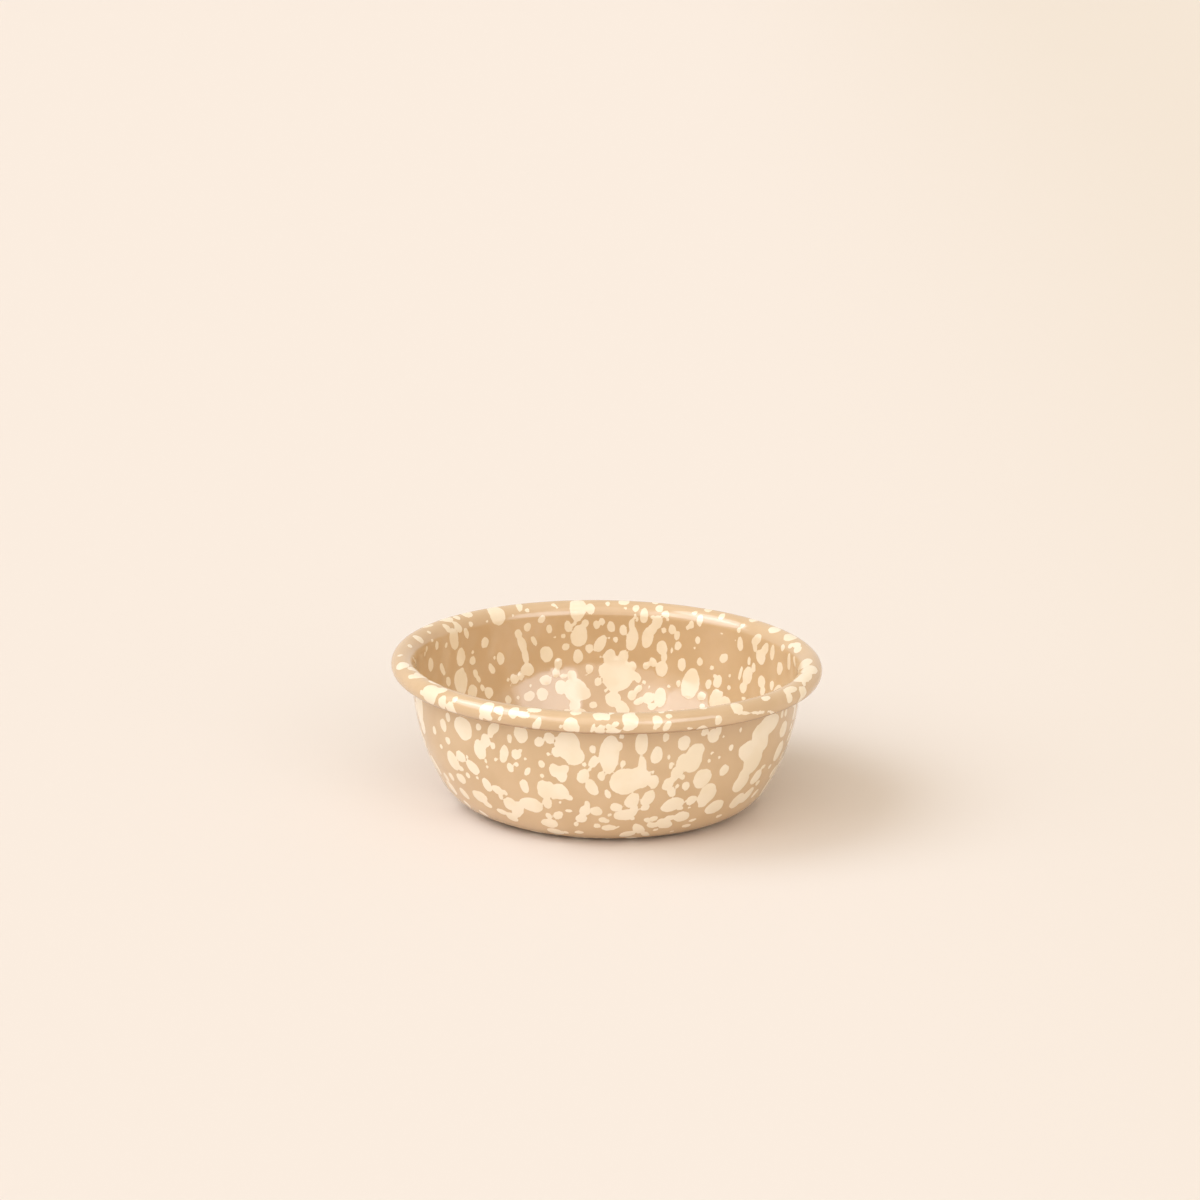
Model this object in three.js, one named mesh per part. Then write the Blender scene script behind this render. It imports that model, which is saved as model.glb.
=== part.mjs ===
// A round enamelled bowl: one sheet of steel, deep-drawn to a flat-bottomed dish whose rim is flared
// and rolled outwards into a hollow bead, and a coat of glass enamel fused to each face of the sheet.
// Millimetres, +Z up. The origin is the middle of the base, on the surface that the bowl stands on.
import * as THREE from "three";

// Driving dimensions, over the enamel unless a line says otherwise
const RIM_DIAMETER = 152; // across the rolled rim
const HEIGHT = 53; // from the table to the crown of the rim
const BASE_DIAMETER = 87; // the flat round that the bowl stands on
const HEEL_RADIUS = 17; // outside, where the base turns up into the wall
const NECK_STRAIGHT = 2; // upright stretch at the top of the wall
const BEAD_DIAMETER = 7.3; // thickness of the rolled rim
const SEAM_GAP = 0.2; // between the wall and the edge that the roll tucks in behind the bead
const STEEL_THICKNESS = 0.7; // bare sheet
const ENAMEL_THICKNESS = 0.2; // each coat
const TUCK_SWEEP = THREE.MathUtils.degToRad(30); // how far the outside coat runs up behind the bead

// A heel takes up at most this share of the wall's lean, so that some wall is left above it
const HEEL_MOST_SHARE = 0.85;

// Facets of the round forms
const AROUND = 48;
const HEEL_STEPS = 5;
const WALL_STEPS = 4;
const TUCK_STEPS = 2;
const FLARE_STEPS = 2; // from the end of the tuck to the crown
const CURL_STEPS = 4; // in each quarter of the curl

// Angles in the section
const OUTWARDS = 0;
const UP = Math.PI / 2;
const INWARDS = Math.PI;
const DOWN = -Math.PI / 2;

// Depths through the finished wall, measured from its outside face
const STEEL_OUTSIDE = ENAMEL_THICKNESS;
const STEEL_INSIDE = STEEL_OUTSIDE + STEEL_THICKNESS;
const WALL_THICKNESS = STEEL_INSIDE + ENAMEL_THICKNESS;

// The rolled rim: the wall flares out to the crown, and the curl turns down and round from there
const beadRadius = BEAD_DIAMETER / 2;
const crownRadius = RIM_DIAMETER / 2 - beadRadius;
const flareRadius = beadRadius + SEAM_GAP; // outside face
const flareHeight = HEIGHT - WALL_THICKNESS - flareRadius; // of its centre
const curlHeight = HEIGHT - beadRadius; // of its centre
const curlHollowRadius = beadRadius - WALL_THICKNESS;
const tuckEnd = INWARDS - TUCK_SWEEP;

// The curl stops where its face comes within the seam gap of the flare behind it
const centreOffset = curlHeight - flareHeight;
const curlEnd = -INWARDS + Math.asin(centreOffset / BEAD_DIAMETER);

// The wall is an arc that leaves the heel smoothly and stands upright at the neck
const baseRadius = BASE_DIAMETER / 2;
const neckRadius = crownRadius - flareRadius;
const neckHeight = flareHeight - NECK_STRAIGHT;
const lean = neckRadius - baseRadius;
const heelRadius = Math.min(HEEL_RADIUS, HEEL_MOST_SHARE * lean);
const wallRise = neckHeight - heelRadius;
const wallRadius = (lean ** 2 + wallRise ** 2 - heelRadius ** 2) / (2 * (lean - heelRadius));
const wallCentre = neckRadius - wallRadius;
const heelEnd = -Math.atan2(wallRise, baseRadius - wallCentre); // the wall starts at this angle too

// Points along an arc of the section, without the one it starts from
function arc(centreX, centreZ, radius, from, to, steps) {
  return Array.from({ length: steps }, (_, i) => {
    const angle = THREE.MathUtils.lerp(from, to, (i + 1) / steps);
    return new THREE.Vector2(centreX + radius * Math.cos(angle), centreZ + radius * Math.sin(angle));
  });
}

// An arc of the flare, and one of the curl, at a depth through the wall
function flareArc(depth, from, to, steps) {
  return arc(crownRadius, flareHeight, flareRadius + depth, from, to, steps);
}

function curlArc(depth, from, to) {
  return arc(crownRadius, curlHeight, curlHollowRadius + depth, from, to, CURL_STEPS);
}

// The outside face as far as its enamel goes: base, heel, wall, neck and the tuck behind the bead
function dishLine(depth) {
  return [
    new THREE.Vector2(0, depth),
    new THREE.Vector2(baseRadius, depth),
    ...arc(baseRadius, heelRadius, heelRadius - depth, DOWN, heelEnd, HEEL_STEPS),
    ...arc(wallCentre, neckHeight, wallRadius - depth, heelEnd, OUTWARDS, WALL_STEPS),
    new THREE.Vector2(neckRadius - depth, flareHeight),
    ...flareArc(depth, INWARDS, tuckEnd, TUCK_STEPS),
  ];
}

// The whole sheet, on over the crown and round the bead to its tucked edge
function sheetLine(depth) {
  return [
    ...dishLine(depth),
    ...flareArc(depth, tuckEnd, UP, FLARE_STEPS),
    ...curlArc(depth, UP, OUTWARDS),
    ...curlArc(depth, OUTWARDS, DOWN),
    ...curlArc(depth, DOWN, curlEnd),
  ];
}

// A layer of the wall between two depths, turned about the bowl's axis
function layer(name, line, outerDepth, innerDepth, material) {
  const section = [...line(outerDepth), ...line(innerDepth).reverse()];
  const geometry = new THREE.LatheGeometry(section, AROUND).rotateX(Math.PI / 2);
  const mesh = new THREE.Mesh(geometry, material);
  mesh.name = name;
  return mesh;
}

const steel = new THREE.MeshStandardMaterial({ color: 0x85888b, roughness: 0.45, metalness: 1 });
const insideEnamel = new THREE.MeshStandardMaterial({ color: 0xd9b489, roughness: 0.15, metalness: 0 });
const outsideEnamel = insideEnamel.clone();

const bowl = new THREE.Group();
bowl.add(
  layer("steel_pressing", sheetLine, STEEL_OUTSIDE, STEEL_INSIDE, steel),
  layer("inside_enamel", sheetLine, STEEL_INSIDE, WALL_THICKNESS, insideEnamel),
  layer("outside_enamel", dishLine, 0, STEEL_OUTSIDE, outsideEnamel),
);

export default bowl;
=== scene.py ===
"""An enamelled bowl, taupe with cream splatter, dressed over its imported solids, in a plain set.

Lengths are in millimetres unless a name ends in _m. A bearing is an angle about the bowl's axis in
degrees, from the front (-Y) towards the right (+X). Along is a length along the section of one face of
the sheet, from the edge of the flat base: it grows up the wall, over the crown and round the bead, and
is negative on the flat.
"""
import math

import bpy
import numpy as np
from mathutils import Matrix, Vector


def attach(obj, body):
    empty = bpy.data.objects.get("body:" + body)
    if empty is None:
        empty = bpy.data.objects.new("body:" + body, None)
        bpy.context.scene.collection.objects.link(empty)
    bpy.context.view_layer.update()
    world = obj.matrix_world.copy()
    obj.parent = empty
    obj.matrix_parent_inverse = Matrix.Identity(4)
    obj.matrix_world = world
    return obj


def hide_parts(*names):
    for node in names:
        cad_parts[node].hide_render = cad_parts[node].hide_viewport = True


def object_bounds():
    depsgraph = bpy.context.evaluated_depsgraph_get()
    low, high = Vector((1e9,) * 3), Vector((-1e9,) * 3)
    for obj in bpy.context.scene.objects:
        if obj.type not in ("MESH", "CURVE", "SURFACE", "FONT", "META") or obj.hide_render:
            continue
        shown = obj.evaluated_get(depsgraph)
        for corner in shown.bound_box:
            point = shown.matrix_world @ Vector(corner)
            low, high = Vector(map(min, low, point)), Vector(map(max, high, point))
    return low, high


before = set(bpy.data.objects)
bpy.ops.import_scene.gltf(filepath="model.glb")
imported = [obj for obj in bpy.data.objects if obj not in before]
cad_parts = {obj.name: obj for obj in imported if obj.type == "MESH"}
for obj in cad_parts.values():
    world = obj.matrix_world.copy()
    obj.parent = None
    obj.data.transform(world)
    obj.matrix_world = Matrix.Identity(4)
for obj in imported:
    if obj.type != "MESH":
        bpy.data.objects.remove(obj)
cad_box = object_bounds()

MM = 0.001

# The section, over the enamel, as the solids have it
RIM_RADIUS = cad_box[1].x / MM
HEIGHT = cad_box[1].z / MM
BASE_RADIUS = 43.5
HEEL_RADIUS = 17
NECK_STRAIGHT = 2
BEAD_RADIUS = 3.65
SEAM_GAP = 0.2
STEEL_THICKNESS = 0.7
ENAMEL_THICKNESS = 0.2
TUCK_SWEEP = math.radians(30)

# Depths through the wall, from its outside face
STEEL_OUTSIDE = ENAMEL_THICKNESS
STEEL_INSIDE = STEEL_OUTSIDE + STEEL_THICKNESS
WALL_THICKNESS = STEEL_INSIDE + ENAMEL_THICKNESS

# How finely the pieces are modelled
COLUMNS = 500  # points of each ring on the coats' seen faces
RING_STEP = 0.66  # between the rings there
FLAT_STEP = 1.0  # and on the flat of the base
HIDDEN_COLUMNS = 125  # points of each ring on the steel and the faces against it
HIDDEN_STEP = 1.2
FIRST_RING = 0.5  # radius of the ring next to the axis
LEG_POINTS = 240  # of each straight or arc that the section is read from

# The flat map that the materials are baked on, as shares of its side
NEAR_CENTRE = (0.485, 0.485)
NEAR_RADIUS = 0.47
EDGE_RADIUS = 0.475  # the faces over a piece's edge lie round its near side
FAR_CENTRE = (0.925, 0.925)
FAR_RADIUS = 0.065

# The splatter: cream enamel, flicked on the taupe while it was wet and fired with it
SEED = 11
RELIEF = 0.07  # how far the cream stands proud
RELIEF_EDGE = 0.7  # width of its rounded edge
FLAT_FADE = 6  # along, the stretch over which the relief dies out towards the flat base
RUN_TOGETHER = 0.1  # drops nearer than this flow into one
WOBBLES = {2: 0.05, 3: 0.035, 5: 0.015}  # waves round a drop, and their heights as shares of its size
FAR_OUTSIDE = -6.0  # depth of a point that no drop comes near
DROP_REACH = 0.6  # share of a drop's larger side within which, and a margin, its depth is worked out
LEAST_SLOPE = 0.02  # of the cone that the face around a drop is unrolled as
LEAST_RADIUS = 1  # for turning a drop's reach into bearings
TINY = 1e-6  # keeps a division clear of zero

# The painted shade along the bottom of the bead, a dark line standing in for the shadow under it: lengths
# to the tucked edge
BEAD_SHADE_STARTS = 8.4
BEAD_SHADE_IS_FULL = 7.3
BEAD_SHADE_FADES = 4.3
BEAD_SHADE_ENDS = 3.2

# Drops of the outside, read from the photograph: bearing, along, width, length and lean.
# A positive lean tilts a drop to the right at its top, as seen by someone facing that side of the wall.
OUTSIDE_DROPS = [
    (-72, 43, 6, 7, 25), (-69.8, 27.5, 7, 4, 60), (-63, 25.5, 4, 3, 40), (-62.8, 21, 6, 5, 40),
    (-61.3, 44.7, 2.4, 3.6, 25), (-58.6, 39.4, 2, 1.8, 0), (-58, 27.5, 3.4, 3, 40),
    (-56.7, 15.5, 4, 2.5, 50), (-55.2, 48.6, 4, 4.6, 10), (-53.8, 21.6, 5, 4, 40),
    (-53.7, 43.3, 2.8, 3, 30), (-53.2, 35.6, 6.6, 7.6, 0), (-52.3, 52.4, 2.6, 3.6, -15),
    (-51.6, 28.9, 5, 4.4, 0), (-50, 33.6, 3.6, 2, 0), (-48.5, 38.8, 4.8, 4.6, 25),
    (-48.5, 13.5, 4, 3, 50), (-47.1, 31.7, 2.2, 2.4, 0), (-45.6, 50.3, 9.2, 8, 0),
    (-45.3, 39.6, 1.4, 1.8, 0), (-44.7, 23.3, 7.6, 5, 0), (-43.7, 36, 6.4, 5, 20),
    (-42.8, 32, 1.6, 1.4, 0), (-42.4, 20.5, 4, 3, 30), (-39.4, 44, 5.4, 7.4, 5),
    (-39.3, 52.5, 2.4, 2.8, 0), (-39.3, 30.1, 4, 5.6, 0), (-37.6, 40.2, 1.2, 1.8, 0),
    (-37.4, 38, 1.2, 1.4, 0), (-36.9, 48, 4.4, 5, 15), (-36.7, 18.7, 4.4, 2.6, 0),
    (-35.4, 29, 4.4, 4, 0), (-35, 50.8, 2.2, 2.4, 0), (-34.7, 26.4, 2, 3, 0),
    (-34.3, 46.8, 2.1, 2.6, 0), (-33.8, 53.2, 3.6, 5.6, 50), (-33.7, 41.8, 1.2, 1.8, 30),
    (-33, 17, 5, 4, 60), (-32.6, 28.6, 1.8, 2.8, -20), (-32, 23.8, 4.8, 6.2, 25),
    (-30.6, 44.6, 3.4, 7.2, 12), (-30.5, 19.5, 3.4, 4, 30), (-29, 22, 4, 7.5, 20),
    (-28.9, 39.7, 2.6, 3.6, 0), (-28.4, 50.8, 2, 3.2, 0), (-26.7, 41.4, 2, 1.8, 30),
    (-26.5, 45.3, 3.4, 4.2, 30), (-25.2, 46.8, 1.2, 2, 50), (-24.9, 33.1, 3.4, 5.6, 0),
    (-24.7, 53, 5.2, 6.4, 0), (-23.7, 25.2, 8.2, 6.8, 0), (-23.6, 44.2, 1.2, 1.4, 0),
    (-23.2, 39.4, 1.9, 3.8, 30), (-19.1, 51.2, 3.2, 3.8, 20), (-18.7, 38.4, 1.4, 1.8, 0),
    (-18.6, 43, 2.2, 3.2, -25), (-18.6, 32.6, 4.6, 8.2, 0), (-18.6, 17.2, 6.4, 4.4, 0),
    (-18.3, 21, 2.4, 3, 0), (-18, 27, 3.2, 5.2, 10), (-17.5, 12, 5.6, 5, 20), (-16.6, 35, 2.6, 3, 0),
    (-16.4, 47.1, 1.4, 1.4, 0), (-16, 53, 3.4, 4.4, -15), (-15.8, 31.6, 3, 5, 0),
    (-15, 21.8, 4.4, 3, -50), (-14.6, 41, 4.2, 5.2, -15), (-14.3, 47.9, 2.4, 3.6, -20),
    (-13.8, 28, 1.2, 1.4, 20), (-13.6, 32.6, 6.2, 6.8, 0), (-13.6, 12.3, 2, 2, 0),
    (-12.6, 39, 3.8, 4.6, -10), (-11.8, 42, 3.4, 3.2, 0), (-11.3, 24.4, 2.4, 1.4, 0),
    (-10.8, 30.4, 2.8, 2.4, 0), (-10.6, 50.6, 9.2, 10.6, -20), (-9.3, 18.1, 1.6, 2.4, 0),
    (-8.7, 47.2, 6.6, 7.2, -20), (-8.7, 13.4, 3, 2.4, 0), (-7.3, 21.2, 4, 4, 0),
    (-6.3, 39.6, 4, 5.8, 25), (-6, 25, 4, 4.4, 20), (-5.9, 44.2, 1.6, 1.8, 0), (-5.2, 28, 2, 3, 0),
    (-4.2, 42.5, 1.1, 1.4, 0), (-3.7, 35.3, 3.8, 7.2, -20), (-3.5, 50, 2.2, 3, 0),
    (-3.2, 45.4, 3.1, 4.4, 15), (-2.3, 25, 3.8, 4.4, -15), (-2.2, 17.8, 2.6, 2.2, 0),
    (-0.9, 40, 2.6, 3.6, 0), (-0.5, 21, 2.5, 2.6, 0), (0.8, 20.3, 2.2, 2, 0), (1.1, 32.7, 2, 4, -25),
    (1.3, 48.2, 6.8, 14, 0), (1.8, 23.4, 1.1, 1.8, 0), (1.8, 16.9, 5, 3.2, 0), (3.8, 26.9, 4, 4, -30),
    (4.3, 51.3, 1.6, 3, 0), (4.6, 54.8, 1.6, 1.8, 0), (5.2, 44.7, 1.7, 3, 0), (5.3, 17.5, 1, 1, 0),
    (6.6, 37.9, 12, 10.4, 0), (6.6, 23.3, 7.4, 5, 0), (8.5, 12.4, 5.6, 4.6, -35),
    (8.6, 29.8, 5, 6.4, 15), (9.3, 21.6, 1.8, 2, 0), (9.4, 25.4, 3, 5.6, 0), (10.4, 52.3, 4.6, 8.4, 0),
    (10.6, 39.3, 6.4, 9, -15), (10.9, 43.6, 3, 7.6, -5), (12.1, 15.8, 3.8, 6.4, -35),
    (13, 26.5, 2.8, 3.4, 30), (13.5, 30.6, 4.2, 7, 20), (14.1, 41.3, 0.9, 1.4, 0),
    (14.4, 20.4, 2.4, 2.2, 0), (14.7, 37.3, 3.6, 5.6, 0), (14.9, 47.6, 4.2, 6.2, 12),
    (15.3, 11.8, 2.4, 5.4, -30), (16.5, 17.6, 4.2, 2.8, 20), (16.6, 20.9, 2.8, 2.6, 0),
    (17.4, 53.9, 2.2, 3.4, 0), (18.4, 14.6, 2, 1.4, 0), (18.5, 46.6, 1.3, 2, 0), (19.2, 36, 4, 5, 20),
    (19.5, 43.3, 1.6, 2.6, 10), (20.7, 32.5, 2.8, 5, -25), (20.8, 38, 2.6, 2.6, 0),
    (20.8, 17.8, 4.4, 7, -45), (21.8, 40.5, 4.4, 5.5, 35), (22, 26.7, 8.2, 6.2, -25),
    (22.4, 34.7, 1.6, 1.8, 0), (22.5, 20.5, 4, 2.6, 0), (23, 51.2, 4.8, 5.2, 0), (23.2, 44, 5, 7, 20),
    (23.6, 38.2, 2, 2.2, 0), (25, 24.6, 2.6, 1.6, 0), (25.2, 34.4, 2.8, 3.8, -20),
    (25.5, 12, 1.6, 1.2, 0), (26.4, 45, 7.4, 10.6, 15), (26.6, 20.4, 5.8, 5, 0),
    (28.2, 48.2, 3.6, 4.2, 0), (28.4, 27.7, 3.8, 4.4, 0), (28.4, 24.3, 1.2, 1, 0),
    (29.5, 54.2, 3, 2.6, -30), (30.2, 14.8, 3.8, 2, 0), (30.5, 36.5, 6.8, 8.2, -8),
    (31.6, 17.6, 3, 1.4, 0), (31.9, 43.3, 1.4, 1.6, 0), (32.4, 52.3, 4.6, 5, 0),
    (32.6, 46.1, 1.4, 1.2, 0), (33.2, 24.8, 3.6, 2.6, 0), (33.8, 29.2, 7, 9.8, -5),
    (34, 53.8, 2.8, 4, 20), (35.3, 43.8, 1.4, 1.2, 0), (36, 51.5, 1.2, 1, 0), (38.1, 38.3, 4, 4.4, -30),
    (39, 22.2, 8, 6.4, -15), (39.3, 46.7, 2.2, 2.4, 0), (42.4, 52.5, 1.2, 1.8, 0),
    (43.7, 16.5, 3, 1.6, 0), (47.4, 30.6, 7.6, 7.6, 0), (49.5, 22, 6.6, 6.4, -20),
    (48.6, 42.6, 15, 8, 20), (50.2, 38.6, 10.4, 10, 0), (52, 47, 12, 8.4, 45), (47.2, 34.2, 5, 5, 0),
    (54.5, 23, 7, 5, -40), (55.3, 30.6, 6.4, 5.4, -20), (55.6, 51, 12.4, 7.6, 0),
    (57.7, 34.2, 2.8, 1.8, 0), (58.2, 27.2, 2.6, 2.4, -30), (60.6, 21.8, 4, 2.6, -40),
    (62.8, 32.5, 2.6, 1.8, 0), (63.2, 52.4, 2.2, 3, 0), (66, 52, 2.2, 3, 0), (66, 46, 6.4, 6, 0),
    (66.5, 37.5, 7, 7.5, 0), (69.8, 28, 6, 4, -30),
]

# Drops of the inside that the camera sees over the front of the rim, from right to left
FAR_WALL_DROPS = [
    (98.7, 58, 6, 2, 20), (101.8, 62, 6, 3, 0), (105, 55.8, 4, 6, 0), (105.2, 63, 5, 3, 0),
    (107.4, 61.3, 3, 2.6, 20), (111.3, 59, 3, 2.6, 20), (112.2, 51, 4.6, 5, 20), (112.6, 64, 7, 4.6, 0),
    (115.9, 43.5, 2.8, 3.6, 0), (117.7, 55.2, 3, 6, 8), (120.5, 40, 3, 3.6, 0),
    (121.6, 63.9, 6, 4.2, 15), (121.9, 55.2, 3.4, 6, 35), (122, 43, 4.4, 4.6, -40),
    (124, 51.6, 5.6, 5.4, 0), (126.5, 57.4, 3.4, 6.4, 45), (127, 46.8, 2.4, 3.4, 0),
    (127.2, 54.6, 2.4, 4, -20), (129, 34.7, 2.4, 1.4, 0), (129.3, 43.2, 5, 6.6, 15),
    (129.4, 48.6, 1.8, 3.2, 0), (130.2, 38.5, 3.8, 4, 0), (132.5, 65, 4, 3, 0),
    (132.6, 43, 1.4, 5.6, 8), (133.9, 53.8, 3, 5.2, 0), (134, 60.8, 2, 2, 0),
    (134.9, 58.7, 1.8, 2.2, 0), (135.9, 54.6, 1, 1, 0), (136.4, 36.9, 1.8, 2, 0),
    (136.6, 31, 6, 4.6, 0), (137, 41.2, 1.4, 1.4, 0), (139.4, 33.8, 2.6, 2.4, 0),
    (140.2, 47, 3.2, 4.2, 35), (141, 31.8, 4.8, 7, 0), (141.3, 38, 3.8, 4.8, 0),
    (141.7, 55.9, 1.4, 0.9, 0), (142.8, 39.8, 1.4, 1.6, 0), (143.2, 62.6, 2.4, 3.6, 0),
    (144.3, 42.5, 1.8, 1.8, 0), (144.7, 36.3, 2.6, 3.6, 0), (145.3, 27.9, 2.6, 1.8, 0),
    (146.4, 31.5, 3.4, 3.4, 20), (149, 43.8, 2.4, 3.2, 0), (149, 64.8, 3, 3.4, 0),
    (150, 59.3, 2.6, 4.4, 0), (150.3, 51.7, 2.2, 2.8, 0), (151.3, 48.6, 1.1, 1.1, 0),
    (151.3, 35.2, 6.8, 12, 6), (152.5, 61.8, 2.2, 1.8, 0), (152.7, 57.2, 2, 3, 0),
    (154, 55.8, 1.6, 2, 0), (155.2, 41.7, 3.2, 5, 0), (155.7, 34.6, 1.8, 2.6, 0),
    (157, 48.5, 2.6, 3.4, 0), (157.5, 52.3, 2.2, 3.8, 10), (158.9, 33.1, 1.6, 1.2, 0),
    (159, 46.4, 1, 2.2, 0), (159.2, 54.3, 3.2, 3.6, 0), (160.9, 57.7, 1.4, 1, 0),
    (161.4, 43.4, 2.4, 4, 0), (161.4, 28.6, 4.6, 7.4, 0), (161.6, 59.8, 2.8, 2.8, 0),
    (161.9, 39.2, 4.6, 5.8, -10), (162, 53.6, 1.8, 2.4, 0), (162.3, 47, 4, 5.6, -10),
    (163.8, 25, 3.4, 2.6, 0), (164, 62, 3, 3.2, 0), (164.2, 56.4, 4, 5.2, 25),
    (165, 41.3, 2.6, 3.8, -30), (165.4, 28, 4, 4.4, 0), (165.6, 53.8, 3.4, 4, 40), (165.6, 32, 1, 1, 0),
    (165.9, 58.2, 1.4, 1.6, 0), (165.9, 65.5, 2.6, 3, 0), (167.2, 50.2, 4.4, 7.6, 10),
    (167.2, 39.8, 2.4, 2.6, 0), (167.4, 33.6, 1.5, 1.6, 0), (168.4, 26.6, 4.4, 2.6, -35),
    (168.5, 58.6, 3.2, 5.6, 0), (169.2, 31, 2.4, 3.6, 45), (169.8, 35.2, 2.6, 4, -20),
    (170.9, 36.8, 1.4, 1.4, 0), (171, 57.6, 1.2, 3, -20), (171.2, 28.6, 3.4, 3.6, 0),
    (171.3, 61.2, 2.6, 2.8, 0), (171.4, 39.4, 2.2, 3.6, -20), (171.8, 52, 3, 4, 0),
    (172.1, 49, 4.6, 7.6, 8), (172.3, 55, 2.2, 4.4, 0), (174.3, 23.6, 4.2, 6.4, -50),
    (174.6, 61, 1.2, 1.2, 0), (174.7, 42.4, 3.6, 5.6, 10), (175, 52.6, 2.6, 4.2, -8),
    (175.2, 64.4, 4, 4.6, 25), (176.4, 36, 11.4, 13.4, 0), (177.3, 48.9, 1.6, 2.4, -25),
    (177.6, 26.8, 6, 5.4, -25), (178.8, 53.7, 2.8, 4.6, -12), (179, 42, 4.8, 6.4, 0),
    (179.6, 49.4, 1, 1.2, 0), (180, 62.8, 1.8, 2.4, 0), (180.2, 29.8, 1.2, 1.4, 0),
    (181.2, 37.2, 3, 5, 0), (181.8, 55.6, 2.4, 3, 0), (181.9, 42.5, 1, 1.2, 0),
    (182.2, 47.2, 4, 6.8, 25), (182.8, 33.1, 2.6, 3.4, 0), (183.4, 54.4, 2.6, 3.2, 0),
    (184.4, 24.5, 2.8, 2.6, 0), (185.4, 60.6, 3.4, 4.4, 0), (185.6, 37.9, 2.8, 3.6, 0),
    (185.7, 45.4, 2.8, 3.2, 0), (186.8, 35.4, 1, 1, 0), (187, 54.9, 2.6, 3.4, 0),
    (187.4, 28.8, 5, 4.6, -35), (188.9, 50.2, 6.4, 8, 0), (189.3, 42.6, 3.8, 5.2, 0),
    (189.3, 60.8, 6, 10, 0), (190.4, 55, 1.2, 2.6, 0), (190.5, 30.2, 8.8, 8.6, -15),
    (190.8, 24.4, 4, 5.4, 0), (191.4, 35.6, 3.4, 4, -35), (192.4, 53.9, 2.8, 4.6, -15),
    (193.2, 46.3, 3, 2.6, -40), (194, 50.4, 1.8, 1.8, 0), (194.3, 35.5, 2.4, 1.8, 0),
    (195.2, 31.4, 5, 5, 0), (195.7, 61.3, 1, 1, 0), (195.8, 40.2, 3.2, 4.2, 0),
    (196.3, 38.4, 1.8, 1.6, 0), (196.6, 62.6, 2.2, 1.6, 30), (196.7, 36.8, 2.8, 3.6, 0),
    (196.8, 50.2, 1, 1, 0), (198.6, 53.4, 2.2, 3.4, -15), (199.6, 44, 4.8, 6.2, 0),
    (200.4, 34.4, 4.4, 3.8, 0), (201.1, 57.3, 3.4, 2.4, -35), (202, 29.4, 4.6, 4.6, 0),
    (203.7, 49.4, 1.8, 4, -25), (205.5, 61.2, 1.8, 1.8, 0), (205.9, 54.8, 2.6, 3.4, 0),
    (205.9, 33, 1, 1.2, 0), (206.4, 39, 5, 5, -35), (206.8, 44, 2.6, 6, -10),
    (206.8, 29.2, 4.4, 3.6, -30), (207.4, 63.6, 2.6, 5, 15), (207.8, 48.6, 3.2, 7, -15),
    (209, 52.6, 2.8, 4, -15), (209.1, 36.9, 2.2, 3.2, -25), (210.7, 59.9, 1, 1.2, 0),
    (211.1, 29.2, 1.2, 1.6, 0), (211.5, 36.2, 3, 3.8, -15), (213.3, 34, 1.4, 0.8, 0),
    (213.8, 36.3, 1.4, 1.4, 0), (215, 29, 2.8, 3.2, 0), (215.9, 44.5, 3.4, 4.8, 0),
    (216, 61.8, 6.8, 9.5, 10), (218.1, 45.2, 1, 1.6, 0), (219.6, 41.4, 2.4, 4.4, -30),
    (220.5, 59.3, 1.2, 1, 0), (221.6, 51.5, 3.6, 4, 20), (222.2, 33, 3.8, 4.4, 0),
    (224.5, 35.3, 1.8, 2.6, -20), (225.6, 39, 1.8, 3.2, -20), (225.8, 64.6, 4.4, 5, 15),
    (226.4, 41, 2.4, 3.2, -20), (226.8, 49, 1.5, 1.5, 0), (227.1, 59.6, 2, 2.2, 0),
    (227.1, 45.9, 3.2, 3, 0), (229.2, 34.6, 6, 4.6, -45), (229.5, 56.7, 2.4, 4.4, -25),
    (230.5, 64, 2.6, 3.4, 0), (232.3, 48.5, 4.6, 6.8, 0), (232.6, 43, 3.2, 3, 0),
    (232.8, 60, 2.8, 5.4, -25), (233.7, 39.6, 7.6, 9, 0), (234.5, 65, 6, 4.6, 20),
    (235.4, 56, 5, 8.6, -20), (237.7, 61, 3, 4, -20), (239.6, 54.8, 1.8, 2, 0), (240, 41.4, 3, 3.4, 0),
    (242.4, 46.6, 2.4, 5.6, -25), (243.5, 65.5, 6, 2.5, 20), (245.3, 56.4, 2.4, 3.4, 0),
    (247, 62.2, 2, 1.8, 0), (248, 59, 2, 1.2, 0), (250, 50.6, 4.6, 5, 0), (253, 57.4, 2.4, 1.8, -30),
    (254.8, 56, 1.8, 1.8, 0), (254.9, 62.4, 4.2, 4.6, 0), (264.1, 63, 3.6, 1.8, 0),
    (275, 65.5, 2, 1.6, 0),
]

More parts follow.
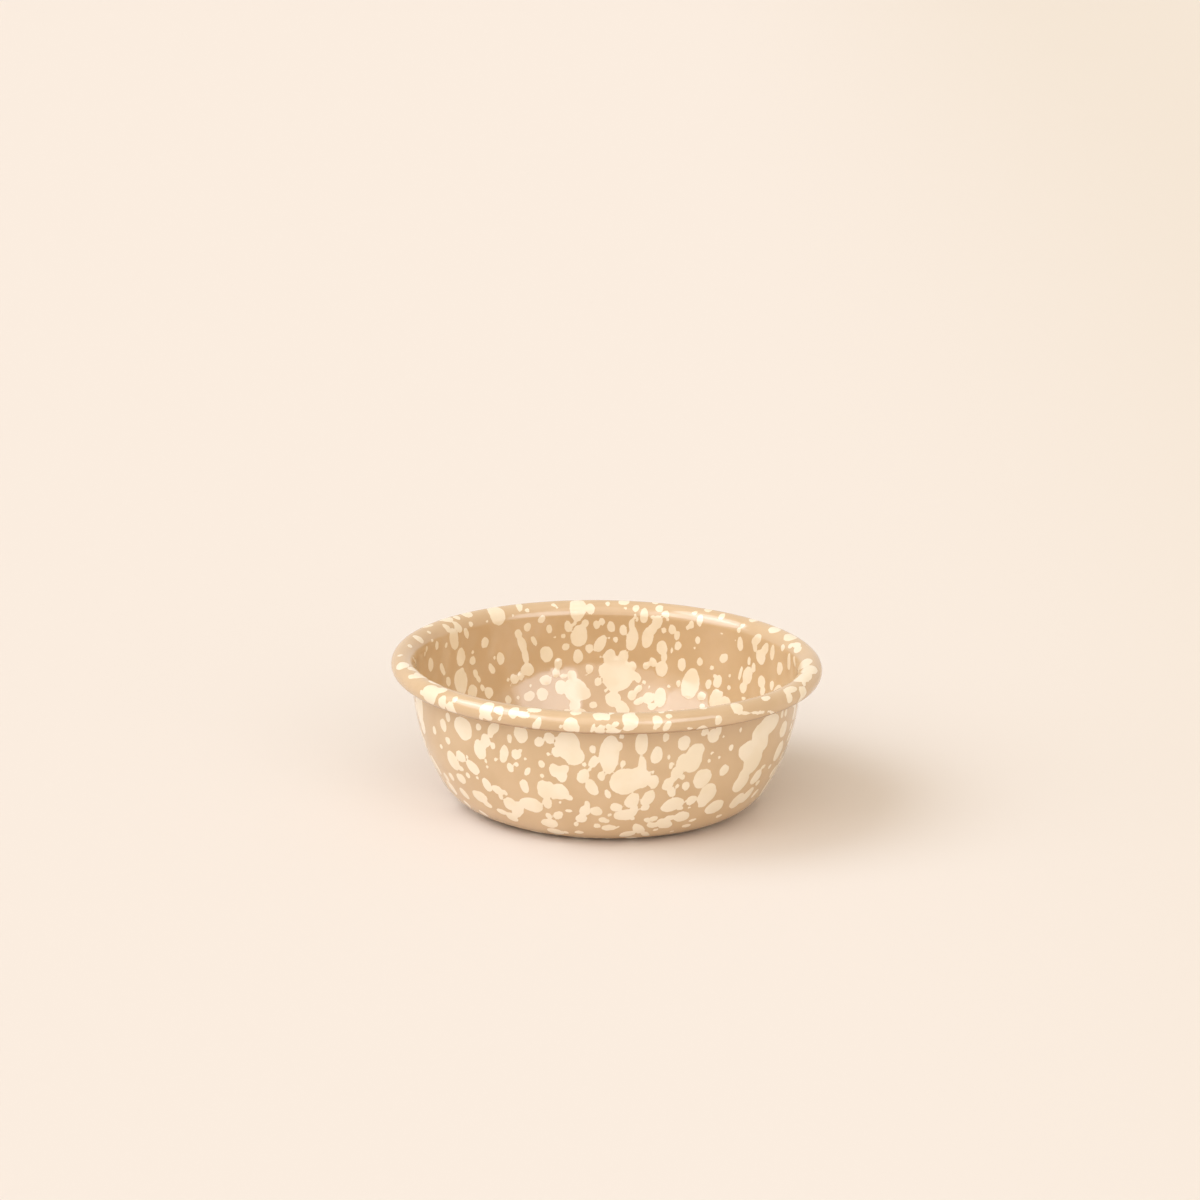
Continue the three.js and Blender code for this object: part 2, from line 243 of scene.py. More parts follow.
# Drops on the front half of the rolled rim, which belongs to the inside face
RIM_DROPS = [
    (-84.5, 66, 2.4, 1.4, 0), (-75.4, 66.4, 7.5, 4.6, 0), (-65, 67.3, 4, 2, 0),
    (-56.5, 70.3, 1.6, 2, 0), (-52.8, 69.6, 8, 8, 0), (-49.5, 66.5, 4, 3.4, 0),
    (-47.3, 71, 3.6, 5.4, 20), (-44, 72.6, 4.6, 5.6, 0), (-43, 68.4, 2.4, 2.4, 0),
    (-34, 73.2, 1.4, 4, 15), (-32.3, 69.4, 5, 6.6, 20), (-31.5, 72, 3, 3, 0),
    (-28.6, 68.6, 3.6, 3.2, 0), (-27.9, 71.4, 0.9, 3.6, 30), (-24.3, 68.6, 3.6, 4.4, 0),
    (-21.5, 69, 5, 2.4, 0), (-19, 66.4, 5, 2.6, 0), (-17.8, 72.3, 2.6, 6.6, 22),
    (-11.3, 71.8, 1.4, 1.6, 0), (-8.8, 71.2, 5, 6, 0), (-7.9, 65.6, 4, 3.4, 0),
    (-7.2, 72.4, 1.6, 3.6, 0), (-3.2, 71.8, 1.2, 4, 15), (-1.4, 67, 5.4, 3.6, 0),
    (-1.3, 72.6, 2.8, 4.4, 0), (0.3, 67.4, 2.4, 3, 0), (0.7, 71, 2, 2, 0), (1.6, 65, 2, 2.4, 0),
    (1.9, 72.7, 5.2, 2.6, 0), (2.7, 70, 2, 2, 0), (5.5, 71.6, 3, 2.2, 0), (6.3, 68.8, 5.4, 7, 0),
    (6.8, 65.5, 2.4, 3, 0), (12.6, 71.5, 1.4, 2.4, 0), (13.3, 69.3, 3.2, 4.4, 0), (15, 65, 2.2, 2.6, 0),
    (15.8, 71.4, 2.4, 4.2, 25), (16.5, 67.7, 2.4, 1.8, 0), (22, 73, 2.6, 1.2, 20),
    (26.3, 73.8, 0.9, 2.6, -15), (27, 65, 3, 2.4, 0), (30, 71.2, 2.6, 4, 0), (36.4, 67.6, 4.6, 5, -30),
    (37.6, 70.1, 1, 6, -80), (43, 71.2, 1, 8, -82), (47.4, 66.8, 4.4, 2.2, 0), (48, 72.5, 1, 5, -60),
    (56, 69.6, 3.6, 4, 25), (58.5, 67, 8, 3, 0), (62, 72.6, 4, 3, -50), (63.5, 70, 5, 4.6, 0),
    (66, 67.8, 2.4, 1.6, 0), (70.5, 65.2, 14, 5.2, 0), (78.5, 65, 9.5, 6.6, 0), (86, 62.6, 10, 5.4, 0),
]

# What the photograph shows of the outside, in bearings off the front and lengths along
OUTSIDE_HALF = 72
OUTSIDE_FROM = 8

# And of the inside: the far wall, in bearings off the back, and the front of the bead
FAR_WALL_HALF = 88
FAR_WALL_TOP = 68.5
HIDDEN_AT_BACK = 20  # the front of the rim hides the far wall as far up as this
HIDDEN_AT_SIDES = 52
HIDDEN_CURVE = 1.7  # the power by which the one grows into the other
BEAD_FROM = 62.5
BEAD_TO = 76

# Elsewhere seeded drops take over, of the same sizes and as close together
DROPS_PER_AREA = 0.034  # drops to a square millimetre
MIDDLE_WIDTH = 2.4
WIDTH_SPREAD = 0.62  # of the width's logarithm
WIDEST = 9
NARROWEST = 1.0
LONGER_BY = 1.2  # length over width
LENGTH_SPREAD = 0.25
MOST_LEAN = 40

# Colours, as sRGB values out of 255
TAUPE = (213, 183, 145)
TAUPE_DEEP = (207, 176, 137)
CREAM = (248, 235, 213)
CREAM_WARM = (244, 229, 203)
# Painted shade: the colour of the dark line under the bead
PAINTED_BEAD_SHADE = (156, 118, 82)
STEEL_GREY = (133, 136, 139)
STEEL_MARK = (120, 122, 125)
FLOOR = (236, 229, 226)
FLOOR_RIGHT = (231, 223, 216)
BACKDROP = (252, 238, 226)
FILL_LIGHT = (255, 239, 212)
SOFT_LIGHT = (255, 247, 238)
COOL_LIGHT = (232, 243, 255)

# The enamel. A scale is how many clouds of noise go to a metre.
TAUPE_MOTTLE_SCALE = 70
CREAM_MOTTLE_SCALE = 110
MOTTLE_RANGE = (0.35, 0.65)  # values of the noise between which one colour turns into another
NOISE_RANGE = (0.3, 0.7)  # where most values of the noise lie
RAGGED_SCALE = 650
RAGGED_BY = 0.09  # how far the edges of the drops wander
CREAM_EDGE = (-0.11, 0.08)  # depths between which taupe turns into cream
GLOSS_SCALE = 260
ENAMEL_ROUGHNESS = (0.06, 0.11)
ENAMEL_IOR = 1.6
ENAMEL_SPECULAR = 0.8
PEEL_SCALE = 420
PEEL_STRENGTH = 0.25
PEEL_HEIGHT_m = 0.00006

# The steel
MARK_SCALES = (40, 1500, 40)  # the rolling marks run along X
STEEL_ROUGHNESS = (0.3, 0.5)
MARK_STRENGTH = 0.3
MARK_HEIGHT_m = 0.00002

# The camera, fitted to the outline in a picture of 1200 by 1200 pixels
PICTURE_SIDE = 1200
FOCAL_PIXELS = 3948.2
AIM_PIXEL = (607.87, 729.76)  # where the point that the camera is set up around appears
AIM_HEIGHT = 25
CAMERA_DISTANCE = 1400
CAMERA_ELEVATION = math.radians(16.995)
CAMERA_ROLL = math.radians(1.081)
SENSOR = 36

# The set
FLOOR_SIDE_m = 24.0
FLOOR_DROP_m = 0.00002  # keeps the floor clear of the base that stands on it
FLOOR_DIMS_m = (0.05, 0.45)  # how far to the right the floor starts to dim, and ends
FILL_STRENGTH = 0.62

# The lamps: bearing, elevation and the angle each takes up, in degrees, then strength and colour
LAMPS = {
    "key": (-90, 50, 36, 0.72, COOL_LIGHT),
    "overhead": (-45, 68, 90, 0.35, SOFT_LIGHT),
    "front": (0, 32, 80, 0.88, SOFT_LIGHT),
    "left": (-67, 34, 50, 0.8, COOL_LIGHT),
    "right": (39, 23, 40, 0.26, COOL_LIGHT),
}

# The windows, which only the gloss shows: the bearings and elevations that each spans, and its strength
LEFT_WINDOW = ((-98, -22), (18, 48), 1.1)
RIGHT_WINDOW = ((20, 63), (8, 36), 1.3)
WINDOW_EDGE = 3  # degrees, half the width of their soft edges

# Sockets of Blender's Mix node for colours, which share their names with others on it
MIX_SHARE = 0
MIX_ONE = 6
MIX_OTHER = 7
MIX_RESULT = 2


def linear(colour):
    """An sRGB colour out of 255 as the linear one that shaders take, with full alpha."""
    shares = [value / 255 for value in colour]
    return [s / 12.92 if s <= 0.04045 else ((s + 0.055) / 1.055) ** 2.4 for s in shares] + [1]


def straight(start, end, way):
    """A straight leg of the section, and the way through the sheet at its points."""
    share = np.linspace(0, 1, LEG_POINTS)[:, None]
    points = (1 - share) * np.array(start) + share * np.array(end)
    return points, np.tile(np.array(way, float), (LEG_POINTS, 1))


def arc(centre, radius, start, end, side):
    """A round leg of the section. Side is 1 where the inside of the bowl lies away from its centre."""
    angles = np.linspace(start, end, LEG_POINTS)
    out = np.stack([np.cos(angles), np.sin(angles)], axis=1)
    return np.array(centre) + radius * out, side * out


def sheet_legs(flare_end, has_curl):
    """The outside face of the sheet, from the axis to where its flare ends or on round the bead."""
    crown_radius = RIM_RADIUS - BEAD_RADIUS
    flare_radius = BEAD_RADIUS + SEAM_GAP
    flare_height = HEIGHT - WALL_THICKNESS - flare_radius
    curl_radius = BEAD_RADIUS - WALL_THICKNESS
    curl_height = HEIGHT - BEAD_RADIUS
    neck_radius = crown_radius - flare_radius
    neck_height = flare_height - NECK_STRAIGHT
    lean = neck_radius - BASE_RADIUS
    rise = neck_height - HEEL_RADIUS
    wall_radius = (lean**2 + rise**2 - HEEL_RADIUS**2) / (2 * (lean - HEEL_RADIUS))
    wall_centre = neck_radius - wall_radius
    heel_end = -math.atan2(rise, BASE_RADIUS - wall_centre)
    curl_end = -math.pi + math.asin((curl_height - flare_height) / (2 * BEAD_RADIUS))
    legs = [
        straight((0, 0), (BASE_RADIUS, 0), (0, 1)),
        arc((BASE_RADIUS, HEEL_RADIUS), HEEL_RADIUS, -math.pi / 2, heel_end, -1),
        arc((wall_centre, neck_height), wall_radius, heel_end, 0, -1),
        straight((neck_radius, neck_height), (neck_radius, flare_height), (-1, 0)),
        arc((crown_radius, flare_height), flare_radius, math.pi, flare_end, 1),
    ]
    if has_curl:
        legs.append(arc((crown_radius, curl_height), curl_radius, math.pi / 2, curl_end, 1))
    return legs


class Face:
    """One face of the sheet at a depth through it: its section, read by the length along it."""

    def __init__(self, legs, depth):
        ways = np.concatenate([leg[1] for leg in legs])
        line = np.concatenate([leg[0] for leg in legs]) + depth * ways
        steps = np.linalg.norm(np.diff(line, axis=0), axis=1)
        self.lengths = np.concatenate([[0], np.cumsum(steps)]) - BASE_RADIUS
        self.end = self.lengths[-1]
        self.columns = [line[:, 0], line[:, 1], ways[:, 0], ways[:, 1]]

    def at(self, along):
        """Radius, height and the way through the sheet (outwards, upwards) at each length along."""
        return [np.interp(along, self.lengths, column) for column in self.columns]

    def stations(self, flat_step, wall_step):
        """Lengths along for the rings of a mesh, from next to the axis to the end."""
        flat = np.arange(FIRST_RING - BASE_RADIUS, -flat_step / 2, flat_step)
        return np.concatenate([flat, np.linspace(0, self.end, round(self.end / wall_step) + 1)])


def rings(face, along, columns, moved=0):
    """Rings of points on a face, from the axis out, moved by a length towards the inside of the bowl."""
    radii, heights, way_out, way_up = (column[:, None] for column in face.at(along))
    angles = np.radians(np.arange(columns) * 360 / columns)
    across = radii + moved * way_out
    x = across * np.sin(angles)
    y = -across * np.cos(angles)
    z = np.broadcast_to(heights + moved * way_up, x.shape)
    return np.stack([x, y, z], axis=-1)


class Splatter:
    """How deep inside the cream each point of a face lies: positive is cream, negative taupe."""

    def __init__(self, face, along, bearings, facing):
        """Facing is 1 where greater bearings lie to the right of someone facing the wall, or else -1."""
        self.along = along
        self.bearings = bearings
        self.radii = face.at(along)[0]
        self.slopes = np.gradient(self.radii, along)
        self.facing = facing
        self.depth = np.full((len(along), len(bearings)), FAR_OUTSIDE)

    def around(self, bearing, along, reach):
        """The points within reach of a place, and how far right and up they lie, unrolled as a cone."""
        radius = np.interp(along, self.along, self.radii)
        slope = max(np.interp(along, self.along, self.slopes), LEAST_SLOPE)
        rows = np.flatnonzero(abs(self.along - along) < reach)
        swing = (self.bearings - bearing + 180) % 360 - 180
        widest_swing = math.degrees(reach / max(radius - reach, LEAST_RADIUS))
        columns = np.flatnonzero(abs(swing) < widest_swing)
        unrolled = slope * np.radians(swing[columns])[None, :]
        from_tip = radius / slope + (self.along[rows] - along)[:, None]
        right = self.facing * from_tip * np.sin(unrolled)
        up = from_tip * np.cos(unrolled) - radius / slope
        return np.ix_(rows, columns), right, up

    def add(self, drop, rng):
        """Lets one drop, an oval with an uneven edge, run into what is there."""
        bearing, along, width, length, lean = drop
        reach = DROP_REACH * max(width, length) - FAR_OUTSIDE / 2
        patch, right, up = self.around(bearing, along, reach)
        tilt = math.radians(lean)
        across = (right * math.cos(tilt) - up * math.sin(tilt)) / (width / 2)
        lengthwise = (right * math.sin(tilt) + up * math.cos(tilt)) / (length / 2)
        turn = np.arctan2(across, lengthwise)
        phases = rng.uniform(0, 2 * math.pi, len(WOBBLES))
        wobbles = zip(WOBBLES.items(), phases)
        uneven = sum(size * np.cos(waves * turn + phase) for (waves, size), phase in wobbles)
        share = np.hypot(across, lengthwise) / (1 + uneven)
        gradient = np.hypot(across / (width / 2), lengthwise / (length / 2)) / np.maximum(share, TINY)
        depth = (1 - share) / np.maximum(gradient, 1 / max(width, length))
        self.depth[patch] = self.flowed(self.depth[patch], depth)

    def flowed(self, one, other):
        """The deeper of two depths, rounded where they are about the same."""
        share = np.clip(0.5 + (other - one) / (2 * RUN_TOGETHER), 0, 1)
        return one + (other - one) * share + RUN_TOGETHER * share * (1 - share)

    def scatter(self, shown, rng):
        """Seeded drops wherever shown(bearing, along) is false."""
        areas = np.gradient(self.along) * 2 * math.pi * self.radii
        chances = areas / areas.sum()
        for _ in range(round(DROPS_PER_AREA * areas.sum())):
            along = rng.choice(self.along, p=chances)
            bearing = rng.uniform(0, 360)
            width = np.clip(MIDDLE_WIDTH * math.exp(WIDTH_SPREAD * rng.normal()), NARROWEST, WIDEST)
            length = width * LONGER_BY * math.exp(LENGTH_SPREAD * rng.normal())
            lean = rng.uniform(-MOST_LEAN, MOST_LEAN)
            if not shown(bearing, along):
                self.add((bearing, along, width, length, lean), rng)


def off_front(bearing):
    """How far a bearing is from the front, either way round."""
    return abs((bearing + 180) % 360 - 180)


def outside_shown(bearing, along):
    """Whether the photograph shows a place on the outside well enough to read its drops."""
    return off_front(bearing) < OUTSIDE_HALF and along > OUTSIDE_FROM


def inside_shown(bearing, along):
    """The same on the inside face: the far wall above the front of the rim, and the front of the bead."""
    off_back = 180 - off_front(bearing)
    if off_back < FAR_WALL_HALF:
        to_side = (off_back / 90) ** HIDDEN_CURVE
        return HIDDEN_AT_BACK + (HIDDEN_AT_SIDES - HIDDEN_AT_BACK) * to_side < along < FAR_WALL_TOP
    return BEAD_FROM < along < BEAD_TO


def outside_splatter(face, along, bearings, rng):
    """The splatter of the outside."""
    splatter = Splatter(face, along, bearings, 1)
    for drop in OUTSIDE_DROPS:
        splatter.add(drop, rng)
    splatter.scatter(outside_shown, rng)
    return splatter.depth


def inside_splatter(face, along, bearings, rng):
    """The splatter of the inside and the rim."""
    splatter = Splatter(face, along, bearings, -1)
    for drop in FAR_WALL_DROPS + RIM_DROPS:
        splatter.add(drop, rng)
    splatter.scatter(inside_shown, rng)
    return splatter.depth


def smooth_step(value, start, end):
    """0 before start, 1 after end, and a smooth climb between."""
    share = np.clip((value - start) / (end - start), 0, 1)
    return share * share * (3 - 2 * share)


def ring_quads(first, columns, ring_count):
    """Quads between neighbouring rings, whose points are numbered on from first."""
    column = np.arange(columns)
    after = (column + 1) % columns
    ring = first + columns * np.arange(ring_count - 1)[:, None]
    corners = [ring + column, ring + after, ring + columns + after, ring + columns + column]
    return np.stack(corners, axis=-1).reshape(-1, 4)


def ring_strip(fine, coarse):
    """Triangles from a ring to one with as many points or fewer, both given as their points' numbers."""
    triangles = []
    share = len(fine) // len(coarse)
    middle = share // 2
    for cell, near in enumerate(coarse):
        far = coarse[(cell + 1) % len(coarse)]
        edge = [fine[(cell * share + step) % len(fine)] for step in range(share + 1)]
        triangles += [(edge[step], edge[step + 1], near) for step in range(middle)]
        triangles.append((edge[middle], far, near))
        triangles += [(edge[step], edge[step + 1], far) for step in range(middle, share)]
    return triangles


def fan(tip, ring):
    """Triangles from a point on the axis to the ring around it."""
    return [(tip, after, before) for before, after in zip(ring, np.roll(ring, -1))]


def disc(points, centre, radius):
    """Places on a flat disc for rings of points, as far out as they lie along the section."""
    steps = np.linalg.norm(np.diff(points[:, 0], axis=0), axis=1)
    lengths = FIRST_RING + np.concatenate([[0], np.cumsum(steps)])
    angles = 2 * math.pi * np.arange(points.shape[1]) / points.shape[1]
    ways = np.stack([np.sin(angles), np.cos(angles)], axis=1)
    return np.array(centre) + radius * (lengths / lengths[-1])[:, None, None] * ways


def lay_flat(mesh, near, far):
    """The map for baking: the near side of a shell on a large disc, and its far side on a small one."""
    near_places = disc(near, NEAR_CENTRE, NEAR_RADIUS)
    far_places = disc(far, FAR_CENTRE, FAR_RADIUS)
    sides = [near_places.reshape(-1, 2), far_places[::-1].reshape(-1, 2)]
    places = np.concatenate([[NEAR_CENTRE], *sides, [FAR_CENTRE]])
    corners = np.empty(len(mesh.loops), np.int32)
    mesh.loops.foreach_get("vertex_index", corners)
    starts = np.empty(len(mesh.polygons), np.int32)
    mesh.polygons.foreach_get("loop_start", starts)
    sizes = np.diff(np.append(starts, len(corners)))
    spots = places[corners]

    # A face over the edge has corners on both sides: its far ones go round the large disc
    far_first = 1 + len(sides[0])
    is_far = corners >= far_first
    far_counts = np.add.reduceat(is_far.astype(int), starts)
    is_over_edge = np.repeat((far_counts > 0) & (far_counts < sizes), sizes) & is_far
    around = disc(near[:, ::near.shape[1] // far.shape[1]], NEAR_CENTRE, EDGE_RADIUS)[-1]
    spots[is_over_edge] = around[corners[is_over_edge] - far_first]
    mesh.uv_layers.new(name="OFBake").uv.foreach_set("vector", spots.astype(np.float32).ravel())


def shell(name, near, far, is_inside):
    """A closed piece between two sets of rings that meet over its edge. An inside one is turned over."""
    axis = [[(0, 0, side[0, 0, 2])] for side in (near, far)]
    points = np.concatenate([axis[0], near.reshape(-1, 3), far[::-1].reshape(-1, 3), axis[1]])
    last = len(points) - 1
    near_columns, far_columns = near.shape[1], far.shape[1]
    far_first = 1 + len(near) * near_columns
    near_edge = np.arange(far_first - near_columns, far_first)
    far_edge = np.arange(far_first, far_first + far_columns)
    faces = fan(0, np.arange(1, 1 + near_columns))
    faces += ring_quads(1, near_columns, len(near)).tolist()
    faces += ring_strip(near_edge, far_edge)
    faces += ring_quads(far_first, far_columns, len(far)).tolist()
    faces += [face[::-1] for face in fan(last, np.arange(last - far_columns, last))]
    if is_inside:
        faces = [face[::-1] for face in faces]
    mesh = bpy.data.meshes.new(name)
    mesh.from_pydata((points * MM).tolist(), [], [[int(number) for number in face] for face in faces])
    mesh.shade_smooth()
    lay_flat(mesh, near, far)
    piece = bpy.data.objects.new(name, mesh)
    bpy.context.scene.collection.objects.link(piece)
    return piece


def plain_rings(legs, depth):
    """A face that is mostly out of sight, in rings coarse enough to be cheap."""
    face = Face(legs, depth)
    return rings(face, face.stations(HIDDEN_STEP, HIDDEN_STEP), HIDDEN_COLUMNS)


def paint(piece, name, values, elsewhere):
    """Keeps a named value for each point of a coat's seen face, and one for all its other points."""
    every = np.full(len(piece.data.vertices), float(elsewhere))
    every[1:1 + values.size] = values.reshape(-1)
    piece.data.attributes.new(name, "FLOAT", "POINT").data.foreach_set("value", every)


def coat(name, legs, seen_depth, hidden_depth, splatter_of, rng):
    """A coat of enamel: a fine seen face with splatter in relief, and a plain one against the steel."""
    is_inside = seen_depth > hidden_depth
    seen = Face(legs, seen_depth)
    along = seen.stations(FLAT_STEP, RING_STEP)
    depth = splatter_of(seen, along, np.arange(COLUMNS) * 360 / COLUMNS, rng)
    relief = RELIEF * smooth_step(depth, 0, RELIEF_EDGE)
    if not is_inside:
        relief *= -smooth_step(along, 0, FLAT_FADE)[:, None]
    piece = shell(name, rings(seen, along, COLUMNS, relief), plain_rings(legs, hidden_depth), is_inside)
    paint(piece, "splatter", depth, FAR_OUTSIDE)
    if is_inside:
        # Where the painted shade lies: a band along the underside of the bead, towards its tucked edge
        to_edge = seen.end - along
        has_started = 1 - smooth_step(to_edge, BEAD_SHADE_IS_FULL, BEAD_SHADE_STARTS)
        painted_bead_shade = has_started * smooth_step(to_edge, BEAD_SHADE_ENDS, BEAD_SHADE_FADES)
        paint(piece, "painted_bead_shade", np.repeat(painted_bead_shade, COLUMNS), 0)
    return piece


def feed(tree, node, sockets):
    """Gives sockets of a shader node, by name or number, a value or a link from another node's output."""
    for socket, value in sockets.items():
        if isinstance(value, bpy.types.NodeSocket):
            tree.links.new(value, node.inputs[socket])
        else:
            node.inputs[socket].default_value = value


def add_node(tree, kind, sockets=None, **settings):
    """A new shader node, with what its sockets take and how it is set."""
    node = tree.nodes.new(kind)
    for name, value in settings.items():
        setattr(node, name, value)
    feed(tree, node, sockets or {})
    return node


def new_material(name):
    """A material with nodes, its tree, its main shader and the object's own coordinates, in metres."""
    material = bpy.data.materials.new(name)
    material.use_nodes = True
    tree = material.node_tree
    place = add_node(tree, "ShaderNodeTexCoord").outputs["Object"]
    return material, tree, tree.nodes["Principled BSDF"], place


def noise(tree, place, scale, detail):
    """Cloudy values about 0.5."""
    sockets = {"Vector": place, "Scale": scale, "Detail": detail}
    return add_node(tree, "ShaderNodeTexNoise", sockets).outputs["Fac"]


def ramp(tree, value, low, high, to_low, to_high):
    """A value mapped smoothly from one range to another."""
    sockets = {"Value": value, "From Min": low, "From Max": high, "To Min": to_low, "To Max": to_high}
    node = add_node(tree, "ShaderNodeMapRange", sockets, interpolation_type="SMOOTHSTEP")
    return node.outputs["Result"]


def calculated(tree, operation, *values):
    """The result of a calculation on values, each a number or another node's output."""
    return add_node(tree, "ShaderNodeMath", dict(enumerate(values)), operation=operation).outputs[0]


def blended(tree, share, one, other):
    """A colour between two, each given as a colour or as another node's output."""
    sockets = {MIX_SHARE: share, MIX_ONE: one, MIX_OTHER: other}
    return add_node(tree, "ShaderNodeMix", sockets, data_type="RGBA").outputs[MIX_RESULT]


def mottled(tree, place, scale, one, other):
    """A colour that drifts between two."""
    share = ramp(tree, noise(tree, place, scale, detail=3), *MOTTLE_RANGE, 0, 1)
    return blended(tree, share, linear(one), linear(other))


def bumped(tree, height, strength, distance_m):
    """The way that the surface faces, disturbed by a height."""
    sockets = {"Height": height, "Strength": strength, "Distance": distance_m}
    return add_node(tree, "ShaderNodeBump", sockets).outputs["Normal"]


def enamel(name):
    """Fired glass enamel: mottled taupe, cream where the splatter lies, painted shade along the bottom of
    the bead, and a faint orange-peel gloss.
    """
    material, tree, shader, place = new_material(name)
    depth = add_node(tree, "ShaderNodeAttribute", attribute_name="splatter").outputs["Fac"]
    painted_bead_shade = add_node(tree, "ShaderNodeAttribute", attribute_name="painted_bead_shade").outputs["Fac"]
    taupe = mottled(tree, place, TAUPE_MOTTLE_SCALE, TAUPE, TAUPE_DEEP)
    cream = mottled(tree, place, CREAM_MOTTLE_SCALE, CREAM, CREAM_WARM)
    ragged = ramp(tree, noise(tree, place, RAGGED_SCALE, detail=1), *NOISE_RANGE, -RAGGED_BY, RAGGED_BY)
    is_cream = ramp(tree, calculated(tree, "ADD", depth, ragged), *CREAM_EDGE, 0, 1)
    splattered = blended(tree, is_cream, taupe, cream)
    gloss = noise(tree, place, GLOSS_SCALE, detail=2)
    peel = noise(tree, place, PEEL_SCALE, detail=2)
    feed(tree, shader, {
        # The colour turns to painted shade along the bottom of the bead
        "Base Color": blended(tree, painted_bead_shade, splattered, linear(PAINTED_BEAD_SHADE)),
        "Roughness": ramp(tree, gloss, *NOISE_RANGE, *ENAMEL_ROUGHNESS),
        "Normal": bumped(tree, peel, PEEL_STRENGTH, PEEL_HEIGHT_m),
        "IOR": ENAMEL_IOR,
        "Specular IOR Level": ENAMEL_SPECULAR,
    })
    return material


def bare_steel():
    """Low-carbon sheet with the fine lengthwise marks of its rolling."""
    material, tree, shader, place = new_material("bare_steel")
    drawn = add_node(tree, "ShaderNodeMapping", {"Vector": place, "Scale": MARK_SCALES})
    marks = noise(tree, drawn.outputs["Vector"], scale=1, detail=4)
    shade = ramp(tree, marks, *NOISE_RANGE, 0, 1)
    feed(tree, shader, {
        "Base Color": blended(tree, shade, linear(STEEL_GREY), linear(STEEL_MARK)),
        "Roughness": ramp(tree, marks, *NOISE_RANGE, *STEEL_ROUGHNESS),
        "Normal": bumped(tree, marks, MARK_STRENGTH, MARK_HEIGHT_m),
        "Metallic": 1,
    })
    return material


def floor_paper():
    """Pale matt paper, a little dimmer on the right, away from the light."""
    material, tree, shader, place = new_material("floor_paper")
    aside = add_node(tree, "ShaderNodeSeparateXYZ", {"Vector": place}).outputs["X"]
    dimness = ramp(tree, aside, *FLOOR_DIMS_m, 0, 1)
    feed(tree, shader, {
        "Base Color": blended(tree, dimness, linear(FLOOR), linear(FLOOR_RIGHT)),
        "Roughness": 1,
        "Specular IOR Level": 0,
    })
    return material


def add_floor():
    """The sheet of paper that the bowl stands on, which runs out of sight."""
    half = FLOOR_SIDE_m / 2
    corners = [(-half, -half), (half, -half), (half, half), (-half, half)]
    mesh = bpy.data.meshes.new("floor")
    mesh.from_pydata([(x, y, -FLOOR_DROP_m) for x, y in corners], [], [(0, 1, 2, 3)])
    mesh.materials.append(floor_paper())
    floor = bpy.data.objects.new("floor", mesh)
    bpy.context.scene.collection.objects.link(floor)


def add_lamp(name, bearing, elevation, spread, strength, colour):
    """A soft round lamp, far off."""
    lamp = bpy.data.lights.new(name, "SUN")
    lamp.energy = strength
    lamp.angle = math.radians(spread)
    lamp.color = linear(colour)[:3]
    holder = bpy.data.objects.new(name, lamp)
    bearing, elevation = math.radians(bearing), math.radians(elevation)
    flat = math.cos(elevation)
    towards = Vector((flat * math.sin(bearing), -flat * math.cos(bearing), math.sin(elevation)))
    holder.rotation_euler = towards.to_track_quat("Z", "Y").to_euler()
    bpy.context.scene.collection.objects.link(holder)


def between(tree, angle, low, high):
    """1 where an angle lies between two, given in degrees, and 0 elsewhere, with soft edges."""
    soft = math.radians(WINDOW_EDGE)
    low, high = math.radians(low), math.radians(high)
    is_above = ramp(tree, angle, low - soft, low + soft, 0, 1)
    is_below = ramp(tree, angle, high - soft, high + soft, 1, 0)
    return calculated(tree, "MULTIPLY", is_above, is_below)


def window_light(tree):
    """How bright the windows are in each direction."""
    way = add_node(tree, "ShaderNodeTexCoord").outputs["Generated"]
    x, y, z = add_node(tree, "ShaderNodeSeparateXYZ", {"Vector": way}).outputs
    bearing = calculated(tree, "ARCTAN2", x, calculated(tree, "MULTIPLY", y, -1))
    elevation = calculated(tree, "ARCSINE", z)
    light = 0
    for bearings, elevations, strength in (LEFT_WINDOW, RIGHT_WINDOW):
        column = between(tree, bearing, *bearings)
        pane = calculated(tree, "MULTIPLY", column, between(tree, elevation, *elevations))
        light = calculated(tree, "MULTIPLY_ADD", pane, strength, light)
    return light


def background(tree, colour, strength):
    """Light of one colour from all round."""
    sockets = {"Color": linear(colour), "Strength": strength}
    return add_node(tree, "ShaderNodeBackground", sockets).outputs[0]


def add_world():
    """An even warm fill. To the camera it is the pale backdrop, and to the gloss also the windows."""
    world = bpy.data.worlds.new("studio")
    world.use_nodes = True
    tree = world.node_tree
    tree.nodes.clear()
    path = add_node(tree, "ShaderNodeLightPath").outputs
    is_looked_at = calculated(tree, "MAXIMUM", path["Is Camera Ray"], path["Is Glossy Ray"])
    in_gloss = calculated(tree, "MULTIPLY", path["Is Glossy Ray"], window_light(tree))
    fill = background(tree, FILL_LIGHT, FILL_STRENGTH)
    backdrop = background(tree, BACKDROP, 1)
    windows = background(tree, COOL_LIGHT, in_gloss)
    around = add_node(tree, "ShaderNodeMixShader", {0: is_looked_at, 1: fill, 2: backdrop}).outputs[0]
    whole = add_node(tree, "ShaderNodeAddShader", {0: around, 1: windows}).outputs[0]
    add_node(tree, "ShaderNodeOutputWorld", {"Surface": whole})
    bpy.context.scene.world = world


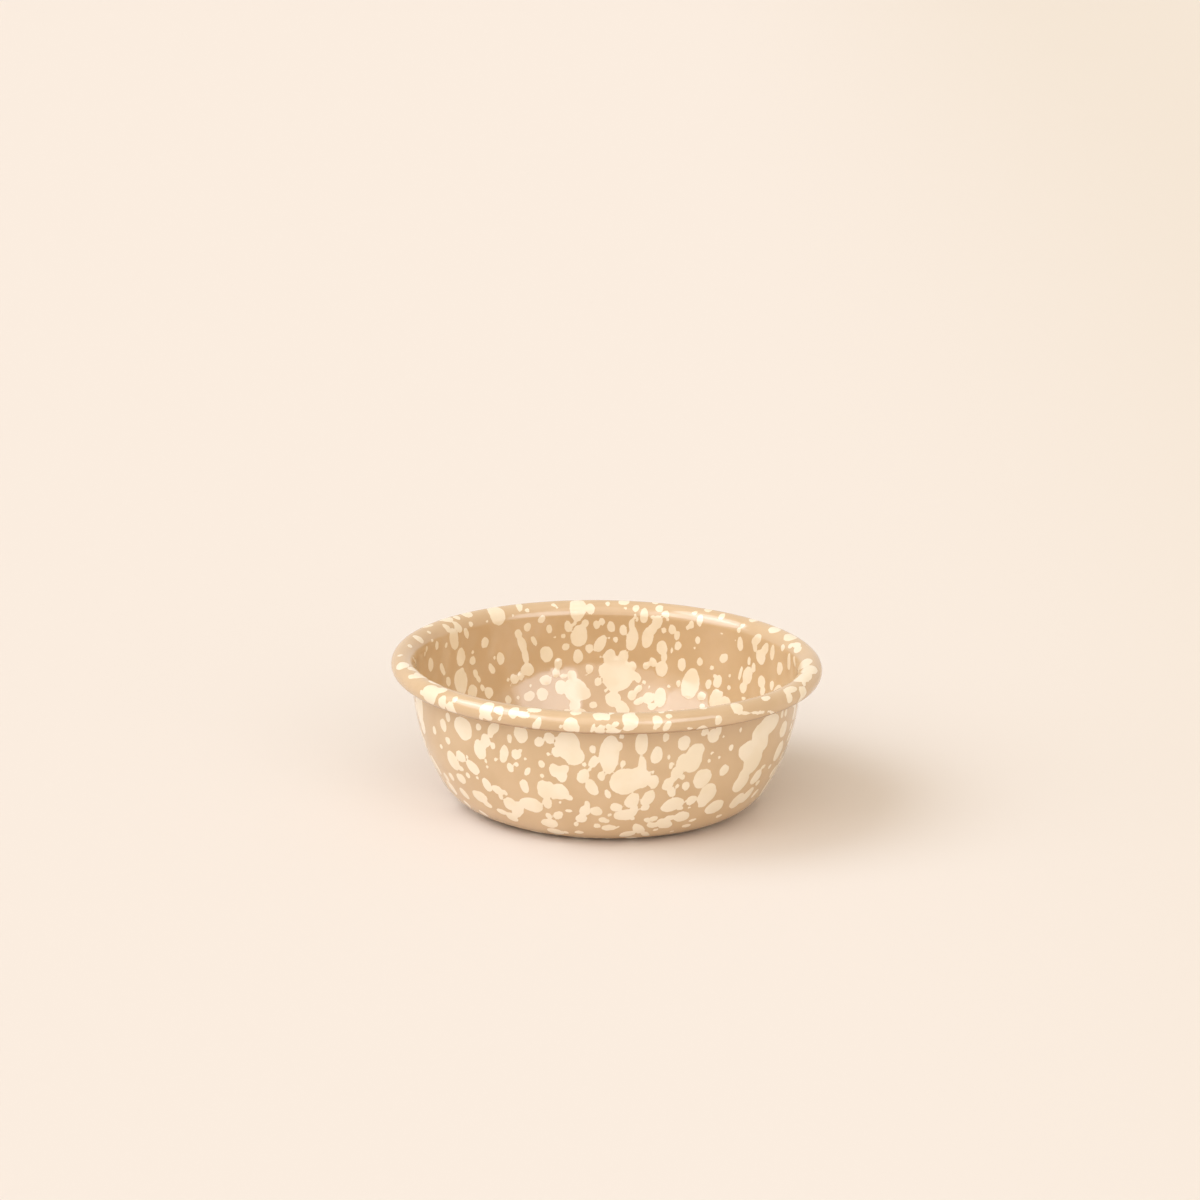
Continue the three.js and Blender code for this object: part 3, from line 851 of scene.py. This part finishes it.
def add_camera():
    """The camera, at the photograph's angle and framing."""
    aim = Vector((0, 0, AIM_HEIGHT))
    back = Vector((0, -math.cos(CAMERA_ELEVATION), math.sin(CAMERA_ELEVATION)))
    to_right = math.atan((AIM_PIXEL[0] - PICTURE_SIDE / 2) / FOCAL_PIXELS)
    below = math.atan((AIM_PIXEL[1] - PICTURE_SIDE / 2) / FOCAL_PIXELS)
    pitch = CAMERA_ELEVATION - below
    lens = bpy.data.cameras.new("camera")
    lens.sensor_width = SENSOR
    lens.lens = FOCAL_PIXELS / PICTURE_SIDE * SENSOR
    camera = bpy.data.objects.new("camera", lens)
    moved = Matrix.Translation((aim + CAMERA_DISTANCE * back) * MM)
    level = Matrix.Rotation(math.pi / 2 - pitch, 4, "X")
    aside = Matrix.Rotation(to_right, 4, "Y")
    rolled = Matrix.Rotation(CAMERA_ROLL, 4, "Z")
    camera.matrix_world = moved @ level @ aside @ rolled
    bpy.context.scene.collection.objects.link(camera)
    bpy.context.scene.camera = camera


def add_bowl():
    """The steel and its two coats of enamel, smooth, in place of their faceted solids."""
    rng = np.random.default_rng(SEED)
    sheet = sheet_legs(math.pi / 2, True)
    dish = sheet_legs(math.pi - TUCK_SWEEP, False)
    steel_faces = [plain_rings(sheet, depth) for depth in (STEEL_OUTSIDE, STEEL_INSIDE)]
    steel = shell("steel_sheet", *steel_faces, False)
    inside = coat("inside_coat", sheet, WALL_THICKNESS, STEEL_INSIDE, inside_splatter, rng)
    outside = coat("outside_coat", dish, 0, STEEL_OUTSIDE, outside_splatter, rng)
    dressed = [
        (steel, "steel_pressing", "steel", bare_steel()),
        (inside, "inside_enamel", "enamel_inside", enamel("inside_enamel")),
        (outside, "outside_enamel", "enamel_outside", enamel("outside_enamel")),
    ]
    for piece, node, slot, material in dressed:
        piece.data.materials.append(material)
        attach(piece, "root")
        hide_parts(node)


add_camera()
add_world()
for lamp_name, lamp_values in LAMPS.items():
    add_lamp(lamp_name, *lamp_values)
add_floor()
add_bowl()
bpy.context.scene.view_settings.view_transform = "Standard"
